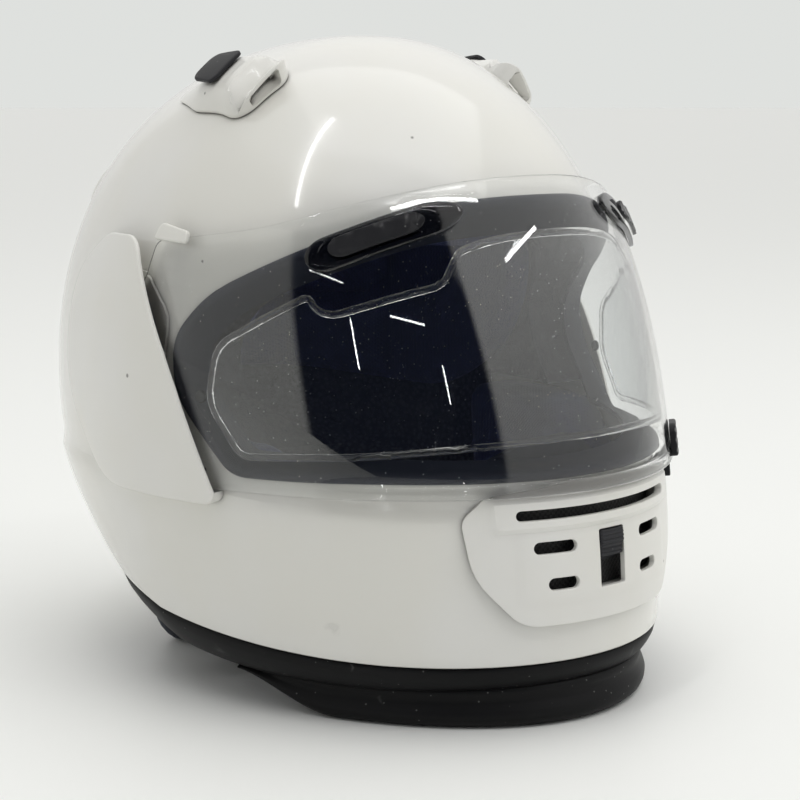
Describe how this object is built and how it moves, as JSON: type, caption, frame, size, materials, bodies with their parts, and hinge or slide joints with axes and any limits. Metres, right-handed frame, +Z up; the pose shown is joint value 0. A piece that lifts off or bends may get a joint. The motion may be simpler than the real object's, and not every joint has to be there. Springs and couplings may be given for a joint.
{
  "type": "full face motorcycle helmet",
  "caption": "Full face motorcycle helmet: gloss white shell, clear swing-up shield with inner lens, vents with sliding shutters, padded liner and ring-fastened chin strap.",
  "frame": {"origin": "on the floor, under the middle of the helmet as it stands", "axes": "+Z up, the wearer looks along -Y, +X is the wearer's left"},
  "size_m": [0.2668, 0.3222, 0.286],
  "materials": {
    "white_shell": "gloss",
    "foam": "matte",
    "lining": "matte",
    "black_rubber": "satin",
    "clear_shield": "gloss",
    "smoke_plastic": "gloss",
    "black_plastic": "satin",
    "steel": "satin",
    "webbing": "matte"
  },
  "bodies": {
    "helmet": {"outer_shell": "white_shell", "side_pod_left": "white_shell", "side_pod_right": "white_shell", "chin_vent_cover": "white_shell", "top_duct_left": "white_shell", "top_duct_right": "white_shell", "rear_outlet_left": "white_shell", "rear_outlet_right": "white_shell", "impact_liner": "foam", "chin_liner": "foam", "crown_pad": "lining", "cheek_pad_left": "lining", "cheek_pad_right": "lining", "neck_roll": "lining", "eyeport_gasket": "black_rubber", "lower_edge_trim": "black_rubber", "chin_skirt": "black_rubber", "breath_guard": "black_rubber", "shield_lock_catch": "black_plastic", "shield_base_plate_left": "black_plastic", "shield_base_plate_right": "black_plastic", "chin_vent_mesh": "black_plastic", "base_plate_screw_left_1": "steel", "base_plate_screw_left_2": "steel", "base_plate_screw_right_1": "steel", "base_plate_screw_right_2": "steel", "strap_anchor_left": "steel", "strap_anchor_right": "steel", "chin_strap_left": "webbing", "chin_strap_right": "webbing"},
    "shield": {"shield": "clear_shield", "anti_fog_insert": "clear_shield", "insert_pin_left": "black_plastic", "insert_pin_right": "black_plastic", "brow_vent_base_left": "smoke_plastic", "brow_vent_base_right": "smoke_plastic", "shield_corner_rib_left": "white_shell", "shield_corner_rib_right": "white_shell"},
    "brow_shutter_left": {"brow_vent_shutter_left": "smoke_plastic"},
    "brow_shutter_right": {"brow_vent_shutter_right": "smoke_plastic"},
    "lock_lever": {"shield_lock_lever": "black_plastic"},
    "chin_toggle": {"chin_vent_toggle": "black_plastic"},
    "top_shutter_left": {"top_duct_shutter_left": "smoke_plastic"},
    "top_shutter_right": {"top_duct_shutter_right": "smoke_plastic"},
    "ring_inner": {"d_ring_inner": "steel"},
    "ring_outer": {"d_ring_outer": "steel"}
  },
  "joints": [
    {"name": "shield_hinge", "type": "hinge", "parent": "helmet", "child": "shield", "pos_m": [0, 0.007, 0.16], "axis": [-1, 0, 0], "range_deg": [0, 38]},
    {"name": "brow_slide_left", "type": "slide", "parent": "shield", "child": "brow_shutter_left", "axis": [-0.7927, -0.5226, 0.314], "range_m": [0, 0.004]},
    {"name": "brow_slide_right", "type": "slide", "parent": "shield", "child": "brow_shutter_right", "axis": [0.7927, -0.5226, 0.314], "range_m": [0, 0.004]},
    {"name": "lock_lever_hinge", "type": "hinge", "parent": "shield", "child": "lock_lever", "pos_m": [0.08077, -0.12324, 0.10023], "axis": [-0.0016, 0.1519, 0.9884], "range_deg": [0, 25], "stiffness_Nm_per_rad": 0.01},
    {"name": "chin_toggle_slide", "type": "slide", "parent": "helmet", "child": "chin_toggle", "axis": [0, -0.098, -0.9952], "range_m": [0, 0.01]},
    {"name": "top_slide_left", "type": "slide", "parent": "helmet", "child": "top_shutter_left", "axis": [-0.0164, 0.9997, -0.0206], "range_m": [0, 0.008]},
    {"name": "top_slide_right", "type": "slide", "parent": "helmet", "child": "top_shutter_right", "axis": [0.0164, 0.9997, -0.0206], "range_m": [0, 0.008]},
    {"name": "ring_inner_swing", "type": "hinge", "parent": "helmet", "child": "ring_inner", "pos_m": [0.07957, -0.004, 0.0298], "axis": [0, 1, 0], "range_deg": [0, 60]},
    {"name": "ring_outer_swing", "type": "hinge", "parent": "helmet", "child": "ring_outer", "pos_m": [0.08377, -0.004, 0.0298], "axis": [0, -1, 0], "range_deg": [0, 25]}
  ]
}
